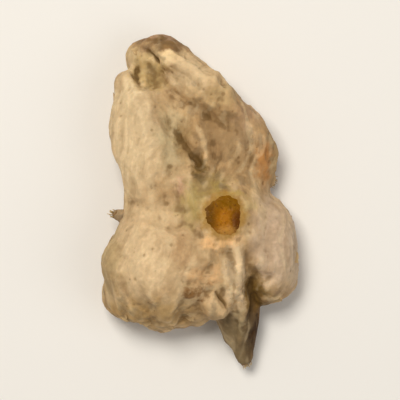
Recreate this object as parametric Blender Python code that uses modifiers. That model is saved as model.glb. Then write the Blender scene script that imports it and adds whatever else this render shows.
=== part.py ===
"""A dried galangal root: one knobbly lump of rhizome, shrunken and creased, lying on a surface.

Metres, +Z up. The origin is on the surface, under the middle of the lump. +X is its right and
+Y its upper end as seen from above, where the face with the amber shoot scar looks up.
The lump grew as one piece, so it is one solid: swellings fused together, then creased,
ridged and scarred by strokes that follow its skin.
"""

import math
from collections import namedtuple

import bmesh
import bpy
import numpy as np
from mathutils import Euler, Matrix, Vector, noise

MM = 0.001

# Driving dimensions: the finished lump with its tail is trimmed to exactly this box
WIDTH = 34.5 * MM
LENGTH = 58.0 * MM
HEIGHT = 18.5 * MM

# Grain of the mesh each time it is fused, the rounds of softening after it, and the triangles kept
FUSE_GRAIN = 0.45 * MM
BODY_SOFTENING = 14
DETAIL_SOFTENING = 2
KEPT_TRIANGLES = 9000

# How much of the underside is worn flat where its low points meet the surface
FLAT_WEAR = 0.45 * MM

# How far the strokes along the skin stray sideways, in mm, and the share by which they swell and shrink
STROKE_WAVER = 1.3
STROKE_SWELL = 0.7

SKIN_COLOUR = (0.56, 0.41, 0.23, 1.0)
SKIN_ROUGHNESS = 0.72
CREASED_EDGE = math.radians(50.0)

UP, DOWN = 1.0, -1.0

# A swelling of the rhizome: its middle, its three radii and its turn about +Z, in mm and degrees
Lobe = namedtuple("Lobe", "x y z rx ry rz turn")

KNOB = Lobe(-7.2, -14.8, 9.3, 9.7, 10.4, 9.3, 0)     # the large plump one, lower left
RIDGE_BACK = Lobe(-9.2, 8.0, 8.8, 5.8, 11.5, 4.6, 14)    # broad back of the left ridge
MOUND = Lobe(3.4, -6.6, 8.4, 8.0, 9.4, 7.6, 0)       # round the shoot scar

LOBES = (
    Lobe(-0.6, -4.0, 8.0, 11.9, 17.0, 6.3, -4),      # the main body
    Lobe(-3.8, 10.8, 6.7, 9.0, 12.0, 5.2, 10),       # the flatter upper body
    KNOB,
    RIDGE_BACK,
    MOUND,
    Lobe(-0.8, -12.6, 8.4, 6.2, 6.6, 7.4, 0),        # between the knob and the right lobe
    Lobe(2.8, -14.6, 8.0, 6.4, 7.6, 6.8, 0),
    Lobe(7.2, -9.4, 8.0, 5.2, 9.6, 6.9, 4),
    Lobe(10.8, -11.2, 6.5, 6.2, 10.2, 6.5, 8),       # right lobe
    Lobe(-12.4, -19.6, 6.2, 4.8, 4.8, 5.4, 0),       # small nubs along the lower end
    Lobe(-6.0, -22.2, 7.0, 5.0, 4.6, 6.2, 0),
    Lobe(-1.6, -21.6, 6.6, 3.6, 3.8, 5.4, 0),
    Lobe(1.4, -19.8, 7.4, 4.4, 4.2, 5.6, 0),
    Lobe(2.4, -21.4, 9.7, 2.9, 3.8, 4.8, 38),        # the pale pointed nub
    Lobe(-9.8, 22.0, 6.4, 3.5, 3.7, 3.4, 0),         # blunt left shoulder of the upper end
    Lobe(-6.4, 19.2, 4.0, 5.2, 5.4, 4.4, 0),         # heel under the upper end
)

# A limb is a swelling or root that tapers along a line: points with a radius at each, in mm
Limb = namedtuple("Limb", "points radii")

LIMBS = (
    # Left ridge, narrow above and thick below
    Limb(((-12.9, 17.6, 8.8), (-12.3, 13.0, 9.2), (-10.8, 7.0, 9.6), (-8.6, 0.0, 9.8), (-7.2, -6.0, 9.6)),
         (2.5, 3.2, 4.4, 5.0, 5.5)),
    # Crest along the upper right edge
    Limb(((-7.6, 22.6, 7.2), (-4.8, 20.8, 8.8), (-1.4, 18.0, 9.6), (2.2, 15.0, 9.6), (5.4, 12.2, 9.0),
          (8.6, 9.2, 8.0), (10.4, 4.0, 7.4), (9.4, -3.0, 6.6)),
         (3.4, 3.9, 3.9, 3.5, 3.4, 3.3, 3.1, 2.8)),
    # The dried tail root at the lower right
    Limb(((5.0, -14.0, 7.0), (5.8, -20.0, 6.2), (6.3, -25.0, 5.0), (7.0, -28.8, 4.2), (7.6, -31.1, 3.9)),
         (3.8, 4.0, 3.6, 2.6, 1.5)),
    # A short spur at the left waist
    Limb(((-10.5, -5.6, 6.4), (-12.4, -5.9, 6.4), (-13.8, -5.9, 6.5), (-14.9, -5.7, 6.7)),
         (2.3, 1.9, 1.6, 1.3)),
    # The rib that runs from the shoot scar down the tail
    Limb(((5.4, -11.0, 12.6), (6.3, -15.4, 11.8), (6.7, -19.6, 9.6), (7.0, -24.4, 7.2), (7.3, -28.4, 5.4)),
         (1.7, 1.6, 1.6, 1.5, 1.2)),
    # Root stubs on the underside, cut short
    Limb(((-7.0, 8.0, 5.4), (-11.4, 8.6, 3.6), (-13.2, 9.0, 3.0)), (2.2, 1.8, 1.6)),
    Limb(((6.0, 2.0, 5.4), (10.4, 0.8, 3.4), (12.4, 0.2, 2.6)), (2.3, 1.9, 1.7)),
    Limb(((1.0, -14.0, 5.4), (1.6, -19.4, 3.8), (2.0, -22.6, 3.0)), (2.4, 1.9, 1.7)),
)

# A stroke along the skin: its line as seen from above, its half width and its height, in mm.
# A negative height is a crease, with its two banks a little raised.
Stroke = namedtuple("Stroke", "line width height side")

STROKES = (
    # The valley between the left ridge and the crest, and the narrow crease that ends in a dark notch
    Stroke(((-7.0, 17.0), (-5.4, 13.6), (-3.4, 8.0), (-1.4, 4.6), (0.8, 1.2)), 2.6, -0.8, UP),
    Stroke(((-5.8, 13.4), (-4.8, 10.8), (-3.6, 8.6), (-2.6, 6.8)), 0.9, -1.1, UP),
    Stroke(((-3.6, 8.4), (-2.5, 6.6), (-1.4, 4.8), (-0.5, 3.0), (0.2, 1.2)), 0.9, -1.9, UP),
    # The olive hollow of the upper end, the sunk bud in it and the creases round that
    Stroke(((-10.4, 20.6), (-8.6, 20.2), (-6.8, 18.4), (-5.8, 16.2)), 2.1, -0.9, UP),
    Stroke(((-12.2, 20.6), (-11.0, 18.6), (-9.6, 17.4), (-7.6, 17.2)), 0.75, -1.2, UP),
    Stroke(((-9.6, 23.6), (-8.2, 22.4), (-7.3, 20.6), (-6.8, 18.8)), 0.7, -1.6, UP),
    # The lit edge of the crest
    Stroke(((-9.0, 23.6), (-6.2, 21.9), (-2.2, 19.4), (1.8, 16.8), (4.8, 14.3), (8.0, 11.4)), 1.3, 0.9, UP),
    # Dents and folds of the right slope
    Stroke(((1.0, 13.4), (1.6, 11.8), (1.8, 10.2)), 1.3, -0.45, UP),
    Stroke(((2.0, 7.4), (2.3, 5.6), (2.5, 3.8)), 1.2, -0.35, UP),
    Stroke(((4.4, 10.4), (5.0, 6.2), (5.4, 2.2)), 0.9, 0.4, UP),
    Stroke(((7.4, 8.8), (7.9, 4.6), (8.0, 0.8)), 1.2, -0.35, UP),
    # The small lit swelling beside the notch, and the waist between the left ridge and the knob
    Stroke(((-2.2, 4.2), (-1.1, 2.6), (-0.4, 1.0)), 0.9, 0.6, UP),
    Stroke(((-14.2, -2.4), (-9.6, -4.8), (-4.8, -5.2), (-1.0, -3.6)), 1.8, -0.7, UP),
    # The pale fold that runs from the scar down the tail
    Stroke(((5.4, -10.4), (6.3, -15.0), (6.7, -19.6), (7.0, -25.0), (7.3, -29.6)), 0.9, 0.8, UP),
    # The seams beside the fold: one behind the pale nub, one that deepens under the right lobe
    Stroke(((2.4, -18.2), (4.3, -20.5), (5.3, -23.0), (5.0, -25.4)), 0.8, -1.1, UP),
    Stroke(((8.2, -10.8), (8.6, -14.4), (9.0, -18.0), (9.1, -21.4), (9.0, -24.6)), 1.0, -1.3, UP),
    Stroke(((13.0, -16.4), (11.2, -17.9), (9.4, -20.2)), 1.0, -0.9, UP),
    # Dents under the knob, between its nubs
    Stroke(((-9.4, -26.4), (-9.2, -23.4), (-10.2, -20.4)), 1.0, -0.8, UP),
    Stroke(((-3.4, -26.0), (-3.6, -23.0), (-2.6, -20.2)), 1.0, -0.9, UP),
    # Short cross wrinkles between the knob and the fold
    Stroke(((-3.0, -15.0), (0.2, -15.6), (3.0, -14.6)), 0.65, -0.4, UP),
    Stroke(((-3.6, -17.4), (-0.6, -17.6), (2.4, -16.8)), 0.65, -0.45, UP),
    # Long folds of the underside
    Stroke(((-9.6, 15.0), (-6.4, 9.0), (-5.4, 1.0), (-6.4, -6.0)), 1.5, -1.0, DOWN),
    Stroke(((1.0, 13.0), (2.0, 6.0), (4.2, -1.0), (4.6, -10.0), (3.2, -17.0)), 1.4, -1.1, DOWN),
    Stroke(((-2.2, 13.4), (-2.2, 8.0), (-1.0, 3.4)), 1.0, -0.6, DOWN),
    # Leaf-scar rings of the underside, each bowed like the segment it grew round
    Stroke(((-12.6, 7.4), (-8.4, 4.2), (-2.6, 3.6), (3.2, 6.2), (7.4, 9.6)), 0.7, 0.45, DOWN),
    Stroke(((-12.8, -1.2), (-9.0, -5.0), (-3.4, -6.6), (2.0, -5.6)), 0.7, 0.5, DOWN),
    Stroke(((5.6, -3.2), (9.0, -5.0), (12.8, -4.2), (15.6, -1.6)), 0.7, 0.4, DOWN),
    Stroke(((-13.8, 15.2), (-8.8, 13.2), (-3.6, 13.8), (1.0, 16.4)), 0.7, 0.45, DOWN),
)

# A round scar, in mm: its middle as seen from above, its radius, its rim's height, its depth and its side
Scar = namedtuple("Scar", "x y radius rim depth side")

SCARS = (
    Scar(4.0, -5.7, 3.4, 0.08, 0.5, (0.0, 0.0, 1.0)),     # the amber shoot scar
    Scar(12.2, 4.8, 2.0, 0.0, 0.3, (0.9, 0.0, 0.5)),      # salmon scar on the right shoulder
    Scar(-2.4, -1.4, 2.0, 0.2, 0.55, (0.0, 0.0, -1.0)),   # root scars of the underside
    Scar(1.4, 10.4, 1.5, 0.2, 0.5, (0.0, 0.0, -1.0)),
    Scar(7.6, -6.0, 1.4, 0.2, 0.5, (0.0, 0.0, -1.0)),
)


def clear_scene():
    for old in list(bpy.data.objects):
        bpy.data.objects.remove(old)


def evaluated_mesh(obj):
    bpy.context.view_layer.update()
    graph = bpy.context.evaluated_depsgraph_get()
    return bpy.data.meshes.new_from_object(obj.evaluated_get(graph))


def limb_mesh(limb):
    """A limb as a bevelled curve that tapers from point to point, turned into a mesh."""
    curve = bpy.data.curves.new("limb_line", "CURVE")
    curve.dimensions = "3D"
    curve.bevel_depth = MM
    curve.bevel_resolution = 6
    curve.resolution_u = 6
    curve.use_fill_caps = True
    line = curve.splines.new("NURBS")
    line.points.add(len(limb.points) - 1)
    line.use_endpoint_u = True
    line.order_u = 3
    for point, place, radius in zip(line.points, limb.points, limb.radii):
        point.co = (*(value * MM for value in place), 1.0)
        point.radius = radius
    guide = bpy.data.objects.new("limb_guide", curve)
    bpy.context.scene.collection.objects.link(guide)
    mesh = evaluated_mesh(guide)
    bpy.data.objects.remove(guide)
    return mesh


def rounded_end(limb, index):
    """A ball that rounds off one end of a limb."""
    return Lobe(*limb.points[index], *(limb.radii[index],) * 3, 0)


def swellings():
    """All lobes and limbs in one mesh, overlapping but not yet fused."""
    shape = bmesh.new()
    rounds = [rounded_end(limb, index) for limb in LIMBS[:4] for index in (0, -1)]
    for lobe in (*LOBES, *rounds):
        place = Matrix.LocRotScale(
            Vector((lobe.x, lobe.y, lobe.z)) * MM,
            Euler((0.0, 0.0, math.radians(lobe.turn))),
            Vector((lobe.rx, lobe.ry, lobe.rz)) * MM,
        )
        bmesh.ops.create_uvsphere(shape, u_segments=40, v_segments=24, radius=1.0, matrix=place)
    for limb in LIMBS:
        shape.from_mesh(limb_mesh(limb))
    mesh = bpy.data.meshes.new("swellings")
    shape.to_mesh(mesh)
    shape.free()
    return mesh


def fused(mesh, softening):
    """The mesh grown into one even skin, with its seams softened over so many rounds."""
    lump = bpy.data.objects.new("lump", mesh)
    bpy.context.scene.collection.objects.link(lump)
    fuse = lump.modifiers.new("fuse", "REMESH")
    fuse.mode = "VOXEL"
    fuse.voxel_size = FUSE_GRAIN
    soften = lump.modifiers.new("soften", "SMOOTH")
    soften.factor = 0.5
    soften.iterations = softening
    result = evaluated_mesh(lump)
    bpy.data.objects.remove(lump)
    return result


class Skin:
    """The lump's vertices in mm with their normals, which the strokes push in and out."""

    def __init__(self, mesh):
        self.mesh = mesh
        self.read()

    def read(self):
        count = len(self.mesh.vertices)
        self.points = np.empty(count * 3)
        self.mesh.vertices.foreach_get("co", self.points)
        self.points = self.points.reshape(-1, 3) / MM
        self.normals = np.empty(count * 3)
        self.mesh.vertex_normals.foreach_get("vector", self.normals)
        self.normals = self.normals.reshape(-1, 3)

    def push(self, heights):
        """Moves each point along its normal, then reads the new normals."""
        self.points += self.normals * heights[:, None]
        self.write()
        self.read()

    def write(self):
        self.mesh.vertices.foreach_set("co", (self.points * MM).ravel())
        self.mesh.update()


def smooth_step(low, high, value):
    share = np.clip((value - low) / (high - low), 0.0, 1.0)
    return share * share * (3.0 - 2.0 * share)


def smooth_line(line, steps=12):
    """Points along a smooth curve through the line's own points."""
    line = np.array(line, float)
    padded = np.vstack((2 * line[0] - line[1], line, 2 * line[-1] - line[-2]))
    found = []
    for before, start, end, after in zip(padded, padded[1:], padded[2:], padded[3:]):
        for t in np.arange(steps) / steps:
            found.append(
                0.5 * (2 * start + (end - before) * t
                       + (2 * before - 5 * start + 4 * end - after) * t ** 2
                       + (3 * start - before - 3 * end + after) * t ** 3)
            )
    found.append(line[-1])
    return np.array(found)


def distance_to_line(points, line):
    """How far each point is from the line, and how far along it the nearest place is, from 0 to 1."""
    best = np.full(len(points), np.inf)
    along = np.zeros(len(points))
    spans = len(line) - 1
    for index, (start, end) in enumerate(zip(line, line[1:])):
        step = end - start
        share = np.clip((points - start) @ step / (step @ step), 0.0, 1.0)
        far = np.linalg.norm(points - start - share[:, None] * step, axis=1)
        nearer = far < best
        best[nearer] = far[nearer]
        along[nearer] = ((index + share) / spans)[nearer]
    return best, along


def stroke_heights(skin, places, swell, stroke):
    """How far one stroke pushes each point: a rounded ridge, or a crease with raised banks."""
    far, along = distance_to_line(places, smooth_line(stroke.line))
    across = far / (stroke.width * swell)
    profile = np.exp(-across ** 2)
    if stroke.height < 0:
        profile -= 0.3 * np.exp(-(across - 2.0) ** 2)
    ends = smooth_step(0.0, 0.18, along) * smooth_step(0.0, 0.18, 1.0 - along)
    facing = smooth_step(0.05, 0.5, skin.normals[:, 2] * stroke.side)
    return stroke.height * profile * (0.25 + 0.75 * ends) * facing


def fold_heights(skin):
    """All strokes at once: the deepest crease holds, and no other's ridge or bank rises in it."""
    waver = np.stack([noise_at(skin.points, 0.3, seed) for seed in (17.0, 19.0)], axis=1)
    places = skin.points[:, :2] + STROKE_WAVER * waver
    swell = 1.0 + STROKE_SWELL * noise_at(skin.points, 0.35, 23.0)
    pushes = np.array([stroke_heights(skin, places, swell, stroke) for stroke in STROKES])
    lowest = np.minimum(pushes, 0.0).min(axis=0)
    highest = np.maximum(pushes, 0.0).max(axis=0)
    return lowest + highest * (1.0 - smooth_step(0.1, 0.8, -lowest))


def noise_at(points, scale, offset=0.0):
    shift = Vector((offset, 2 * offset, -offset))
    return np.array([noise.noise(Vector(p) + shift) for p in points * scale])


def near_lobe(skin, lobe, reach):
    """1 on a lobe and 0 beyond its reach, counted in the lobe's own radii."""
    share = (skin.points - (lobe.x, lobe.y, lobe.z)) / (lobe.rx, lobe.ry, lobe.rz)
    return 1.0 - smooth_step(0.9, reach, np.linalg.norm(share, axis=1))


def wrinkle_heights(skin):
    """Lengthwise wrinkles of the dried skin: ridged noise, drawn out and bent by slower noise."""
    bend = noise_at(skin.points, np.array((0.12, 0.12, 0.12)), 7.0)
    drawn = skin.points + bend[:, None] * np.array((3.0, 0.0, 3.0))
    coarse = 1.0 - 2.0 * np.abs(noise_at(drawn, np.array((0.32, 0.085, 0.32)), 3.0))
    fine = 1.0 - 2.0 * np.abs(noise_at(drawn, np.array((0.75, 0.2, 0.75)), 11.0))
    plump = np.max([near_lobe(skin, lobe, 1.3) for lobe in (KNOB, RIDGE_BACK, MOUND)], axis=0)
    return (1.0 - 0.6 * plump) * (0.4 * (coarse - 0.6) + 0.2 * (fine - 0.6))


def lumpy_heights(skin):
    """Slow unevenness, so that no swelling stays a true ball."""
    return 1.1 * noise_at(skin.points, np.array((0.16, 0.13, 0.16)), 1.0)


def press_scar(skin, scar):
    """A round scar: the skin inside is drawn to a dished disc, with a raised rim round it."""
    near = np.hypot(skin.points[:, 0] - scar.x, skin.points[:, 1] - scar.y)
    near[skin.normals @ np.array(scar.side) < 0.4] = np.inf
    offset = skin.points - skin.points[near.argmin()]
    facing = skin.normals[np.linalg.norm(offset, axis=1) < scar.radius].mean(axis=0)
    facing /= np.linalg.norm(facing)
    above = offset @ facing
    radial = np.linalg.norm(offset - above[:, None] * facing, axis=1)
    close = (np.abs(above) < 2.0 * scar.radius) & (skin.normals @ facing > 0.0)
    share = radial / scar.radius + 0.16 * noise_at(skin.points, 1.1 / scar.radius, 5.0)
    drawn = 1.0 - smooth_step(1.0, 1.4, share)
    dish = -scar.depth * (1.0 - 0.35 * np.exp(-(share / 0.45) ** 2)) * (1.0 - smooth_step(0.8, 1.02, share))
    uneven = 1.0 + 1.4 * noise_at(skin.points, 0.4, 29.0)
    rim = scar.rim * uneven * np.exp(-((share - 1.14) / 0.16) ** 2)
    shift = drawn * (dish + rim - above) * close
    skin.points += shift[:, None] * facing
    skin.write()
    skin.read()


def sculpted(mesh):
    """The fused swellings, creased and ridged first, then wrinkled and scarred."""
    folds = Skin(mesh)
    folds.push(lumpy_heights(folds) + fold_heights(folds))
    skin = Skin(fused(folds.mesh, DETAIL_SOFTENING))
    skin.push(wrinkle_heights(skin))
    for scar in SCARS:
        press_scar(skin, scar)
    return fused(skin.mesh, 1)


def thinned(mesh):
    """The same lump with only the triangles its form needs."""
    lump = bpy.data.objects.new("lump", mesh)
    bpy.context.scene.collection.objects.link(lump)
    lump.modifiers.new("thin", "DECIMATE").ratio = KEPT_TRIANGLES / (2.0 * len(mesh.polygons))
    result = evaluated_mesh(lump)
    bpy.data.objects.remove(lump)
    return result


def laid_down(mesh):
    """The lump scaled to its driving dimensions and worn flat where it touches the surface."""
    points = Skin(mesh).points * MM
    low, high = points.min(axis=0), points.max(axis=0)
    scale = np.array((WIDTH, LENGTH, HEIGHT + FLAT_WEAR)) / (high - low)
    middle = np.array((*(low + high)[:2] / 2.0, low[2]))
    shape = bmesh.new()
    shape.from_mesh(mesh)
    shape.transform(Matrix.Diagonal((*scale, 1.0)) @ Matrix.Translation(-Vector(middle)))
    shape.transform(Matrix.Translation((0.0, 0.0, -FLAT_WEAR)))
    everything = [*shape.verts, *shape.edges, *shape.faces]
    cut = bmesh.ops.bisect_plane(
        shape, geom=everything, dist=1e-7, plane_co=(0.0, 0.0, 0.0), plane_no=(0.0, 0.0, 1.0),
        clear_inner=True,
    )
    rims = [item for item in cut["geom_cut"] if isinstance(item, bmesh.types.BMEdge)]
    bmesh.ops.holes_fill(shape, edges=rims)
    bmesh.ops.triangulate(shape, faces=shape.faces)
    bmesh.ops.recalc_face_normals(shape, faces=shape.faces)
    shape.to_mesh(mesh)
    shape.free()
    return mesh


def dried_skin():
    material = bpy.data.materials.new("dried_skin")
    material.use_nodes = True
    shader = material.node_tree.nodes["Principled BSDF"]
    shader.inputs["Base Color"].default_value = SKIN_COLOUR
    shader.inputs["Roughness"].default_value = SKIN_ROUGHNESS
    return material


def main():
    clear_scene()
    mesh = laid_down(thinned(sculpted(fused(swellings(), BODY_SOFTENING))))
    mesh.materials.clear()
    mesh.materials.append(dried_skin())
    mesh.shade_smooth()
    mesh.set_sharp_from_angle(angle=CREASED_EDGE)
    mesh.name = "galangal_root"
    root = bpy.data.objects.new("galangal_root", mesh)
    collection = bpy.data.collections.new("Dried galangal root")
    bpy.context.scene.collection.children.link(collection)
    collection.objects.link(root)


main()
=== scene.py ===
"""The dried galangal root as it looks: its skin at a finer grain, its scars, broken fibres and flakes."""

import math

import bmesh
import bpy
import numpy as np
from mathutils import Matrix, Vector, noise
from mathutils.bvhtree import BVHTree


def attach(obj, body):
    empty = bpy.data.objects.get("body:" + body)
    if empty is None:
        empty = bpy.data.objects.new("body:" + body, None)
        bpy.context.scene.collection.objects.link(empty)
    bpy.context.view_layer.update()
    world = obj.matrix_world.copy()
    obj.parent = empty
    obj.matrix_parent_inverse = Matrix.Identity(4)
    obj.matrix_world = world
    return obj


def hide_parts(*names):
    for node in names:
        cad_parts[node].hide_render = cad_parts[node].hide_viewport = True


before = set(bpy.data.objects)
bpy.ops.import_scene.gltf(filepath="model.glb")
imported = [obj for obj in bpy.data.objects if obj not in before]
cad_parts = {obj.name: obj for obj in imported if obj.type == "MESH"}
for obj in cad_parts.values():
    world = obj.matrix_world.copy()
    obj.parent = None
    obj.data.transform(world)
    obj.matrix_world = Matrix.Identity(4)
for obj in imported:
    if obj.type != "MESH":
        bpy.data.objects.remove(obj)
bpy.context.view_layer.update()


# The skin: the lump's own dried outer skin, thin and cream to tan, shrunk onto the flesh as it lost
# its water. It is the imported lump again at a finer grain, with its folds drawn sharper and with the
# lengthwise wrinkles, sheath rings, pores and small root scars that the drying brought out.

MM = 0.001
SKIN_GRAIN = 0.25 * MM
FOLDS_SHARPENED = 1.1
PORES = 170
PORE_SEED = 8

# Heights over the smooth skin, in mm
GRIT_HEIGHT = 0.03
DENT_HEIGHT = 0.12
COARSE_WRINKLE = 0.17
FINE_WRINKLE = 0.05
BARK_THICK = 0.09

# Rounds of softening
FACETS_SOFTENED = 9
SCAR_GROUND_SOFTENED = 50
RIB_SOFTENED = 45
PLACES_SOFTENED = 30
PLACES_SOFTENED_AGAIN = 8

# Rounds of averaging that find how far a point lies below the skin round it, or among how much bark
FINE_ROUNDS = 6
FOLD_ROUNDS = 16
MIDDLE_ROUNDS = 30
DEEP_ROUNDS = 90
BARK_ROUNDS = 80

# Parts that grew one way: middle, reach and direction of growth, and how wrinkled they are; in mm
GROWN_PARTS = (
    ((-11.5, 12.0, 8.0), (5.0, 13.0, 8.0), (0.12, 1.0, 0.05), 0.5),      # left ridge
    ((-3.0, 22.0, 8.0), (9.0, 6.0, 8.0), (0.75, -0.65, 0.0), 0.8),       # upper end and crest
    ((5.0, 10.0, 8.0), (8.0, 11.0, 8.0), (0.1, 1.0, 0.0), 0.9),          # right slope
    ((-8.0, -11.0, 9.0), (9.0, 9.0, 10.0), (-0.25, -1.0, 0.0), 0.35),    # knob
    ((4.0, -6.0, 9.0), (6.0, 9.0, 8.0), (-0.1, 1.0, 0.0), 0.5),          # mound round the shoot scar
    ((12.0, -8.0, 7.0), (5.0, 11.0, 8.0), (0.16, 1.0, 0.0), 0.55),       # right lobe
    ((7.2, -23.0, 5.0), (3.5, 6.0, 6.0), (0.15, -1.0, -0.25), 1.2),      # tail
    ((0.2, -12.6, 13.0), (3.4, 3.0, 6.0), (1.0, 0.42, 0.0), 1.5),        # cross wrinkles beside the knob
)

# Where the brown outer bark of the skin held on or wore off: middle and reach in mm, and how much held
BARK_PLACES = (
    ((3.0, 10.5, 9.0), (6.5, 8.5, 9.0), 0.62),
    ((-5.0, 28.5, 6.0), (7.0, 3.2, 9.0), 0.75),
    ((-9.0, 22.0, 8.0), (3.6, 3.6, 9.0), 0.4),
    ((-9.0, -20.0, 7.0), (9.0, 3.4, 9.0), 0.5),
    ((9.6, -15.0, 8.0), (2.6, 5.6, 8.0), 0.6),
    ((7.0, -25.5, 5.0), (6.0, 7.5, 9.0), 1.7),
    ((-11.4, 12.0, 10.0), (4.4, 12.0, 8.0), -0.3),
    ((-8.6, -9.0, 15.0), (7.5, 8.0, 8.0), -0.35),
    ((12.4, -7.0, 9.0), (4.0, 8.0, 8.0), -0.25),
    ((-3.0, 22.5, 9.0), (5.0, 2.4, 8.0), -0.4),
    ((0.0, 2.0, -2.0), (18.0, 30.0, 5.0), 0.42),
)

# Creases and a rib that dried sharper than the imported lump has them: points as seen from above,
# half width and height, in mm
SHARP_LINES = (
    # The long crease
    (((-5.0, 14.4), (-4.1, 12.4), (-2.9, 10.2), (-1.6, 8.2), (-0.5, 6.4), (0.2, 5.0), (0.5, 3.8)),
     0.65, -0.3),
    # Creases over and under the bud, behind the nub, and beside the right lobe
    (((-9.9, 26.8), (-8.6, 25.9), (-7.6, 24.6), (-7.0, 23.2)), 0.3, -0.22),
    (((-12.2, 23.4), (-11.0, 21.4), (-9.6, 20.2)), 0.3, -0.2),
    (((2.4, -15.2), (4.2, -17.2), (5.4, -19.6)), 0.35, -0.3),
    (((8.9, -11.4), (9.0, -14.0), (9.3, -16.8), (9.3, -20.0)), 0.6, -0.3),
    # The rib that runs down to the tail
    (((5.6, -8.6), (6.2, -12.0), (6.5, -15.2), (6.8, -18.4), (7.2, -21.6), (7.6, -24.6)),
     0.6, 0.5),
)
LINE_SAMPLES = 80
LINE_REACH = 1.0
LINE_EASE = 6

# Places that dried smoother than the skin round them: middle and reach, in mm
SMOOTH_PLACES = (
    ((0.2, 3.6, 12.0), (2.0, 1.6, 8.0)),     # foot of the long crease
    ((8.6, -9.4, 11.0), (1.5, 1.5, 6.0)),    # where the lobe leaves the mound
    ((2.4, -19.0, 9.5), (1.6, 1.8, 5.0)),    # nub
)

# The shoot scar in mm: its middle as seen from above, and its radius
SCAR_MIDDLE = (4.2, -2.6)
SCAR_RADIUS = 3.4

# Leaf-sheath rings: middle, reach, the axis they are threaded on, their spacing and height, in mm
RINGED_PARTS = (
    ((-7.5, -12.0, 8.0), (11.0, 10.0, 11.0), (-0.15, -1.0, 0.1), 3.1, 0.12),    # knob
    ((-10.5, 10.0, 8.0), (7.0, 16.0, 9.0), (0.25, 1.0, 0.0), 5.2, 0.08),        # left ridge
    ((-4.0, 24.0, 7.0), (9.0, 6.0, 9.0), (-0.5, 1.0, 0.0), 2.4, 0.13),          # upper end
    ((12.5, -8.0, 7.0), (7.0, 12.0, 9.0), (0.1, 1.0, 0.0), 3.8, 0.10),          # right lobe
)

# Small round scars where thin roots dropped off: a point beside the skin and the radius, in mm
ROOT_SCARS = (
    ((-18.0, 6.0, 6.0), 0.8), ((-17.5, 14.5, 5.0), 0.65), ((-17.0, -15.0, 4.0), 0.8),
    ((-6.0, -26.0, 4.0), 0.85), ((18.0, -4.0, 3.6), 0.8), ((17.5, -12.0, 6.5), 0.6),
    ((15.5, 12.0, 4.4), 0.7), ((2.0, 32.0, 4.0), 0.7), ((-10.0, 6.0, -3.0), 0.9),
    ((-9.0, -16.0, -3.0), 0.85), ((4.0, 5.0, -3.0), 0.75), ((12.0, -13.0, -3.0), 0.8),
    ((-4.0, 17.0, -3.0), 0.7), ((-12.0, -6.0, -3.0), 0.65), ((1.5, -9.0, -3.0), 0.8),
    ((7.6, -22.0, -2.0), 0.5),
)


def evaluated_mesh(obj):
    bpy.context.view_layer.update()
    graph = bpy.context.evaluated_depsgraph_get()
    return bpy.data.meshes.new_from_object(obj.evaluated_get(graph))


def unit(vector):
    vector = np.array(vector, float)
    return vector / np.linalg.norm(vector)


def smooth_step(low, high, value):
    share = np.clip((value - low) / (high - low), 0.0, 1.0)
    return share * share * (3.0 - 2.0 * share)


def noise_at(points, scale, seed):
    shift = Vector((seed * 7.3, seed * 3.1, seed * -5.7))
    return np.array([noise.noise(Vector(point) + shift) for point in points * scale])


def grown_mesh():
    """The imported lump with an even, fine grain and without its facets."""
    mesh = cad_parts["galangal_root"].data.copy()
    shape = bmesh.new()
    shape.from_mesh(mesh)
    bmesh.ops.remove_doubles(shape, verts=shape.verts, dist=1e-6)
    shape.to_mesh(mesh)
    shape.free()
    lump = bpy.data.objects.new("lump", mesh)
    bpy.context.scene.collection.objects.link(lump)
    grain = lump.modifiers.new("grain", "REMESH")
    grain.mode = "VOXEL"
    grain.voxel_size = SKIN_GRAIN
    soften = lump.modifiers.new("soften", "SMOOTH")
    soften.iterations = FACETS_SOFTENED
    result = evaluated_mesh(lump)
    bpy.data.objects.remove(lump)
    return result


class Skin:
    """A mesh's points in mm with their normals, pushed in and out along them."""

    def __init__(self, mesh):
        self.mesh = mesh
        self.edges = np.empty(len(mesh.edges) * 2, int)
        mesh.edges.foreach_get("vertices", self.edges)
        self.edges = self.edges.reshape(-1, 2)
        self.read()

    def read(self):
        count = len(self.mesh.vertices)
        self.points = np.empty(count * 3)
        self.mesh.vertices.foreach_get("co", self.points)
        self.points = self.points.reshape(-1, 3) / MM
        self.normals = np.empty(count * 3)
        self.mesh.vertex_normals.foreach_get("vector", self.normals)
        self.normals = self.normals.reshape(-1, 3)

    def push(self, heights):
        self.points += self.normals * heights[:, None]
        self.mesh.vertices.foreach_set("co", (self.points * MM).ravel())
        self.mesh.update()
        self.read()

    def soften(self, shares, rounds):
        """Draws each point by its share to where its neighbours lie on average."""
        self.points += (neighbour_mean(self.points, self.edges, rounds) - self.points) * shares[:, None]
        self.push(np.zeros(len(self.points)))

    def near(self, middle, reach):
        """1 at the middle of a part, falling softly to 0 past its reach."""
        return np.exp(-(((self.points - middle) / reach) ** 2).sum(axis=1))

    def keep(self, name, values):
        """A value for each point, kept under a name that a material can read."""
        values = values.astype(np.float32)
        self.mesh.attributes.new(name, "FLOAT", "POINT").data.foreach_set("value", values)

    def depth_below(self, rounds):
        """How far each point lies below the skin round it."""
        return ((neighbour_mean(self.points, self.edges, rounds) - self.points) * self.normals).sum(axis=1)


def neighbour_mean(values, edges, rounds):
    """Values averaged with their neighbours' over the mesh, round after round."""
    links = np.bincount(edges.ravel(), minlength=len(values))
    for _ in range(rounds):
        gathered = np.empty_like(values)
        for axis in range(values.shape[1]):
            column = values[:, axis]
            gathered[:, axis] = np.bincount(edges[:, 0], column[edges[:, 1]], len(values))
            gathered[:, axis] += np.bincount(edges[:, 1], column[edges[:, 0]], len(values))
        values = 0.4 * values + 0.6 * gathered / links[:, None]
    return values


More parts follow.
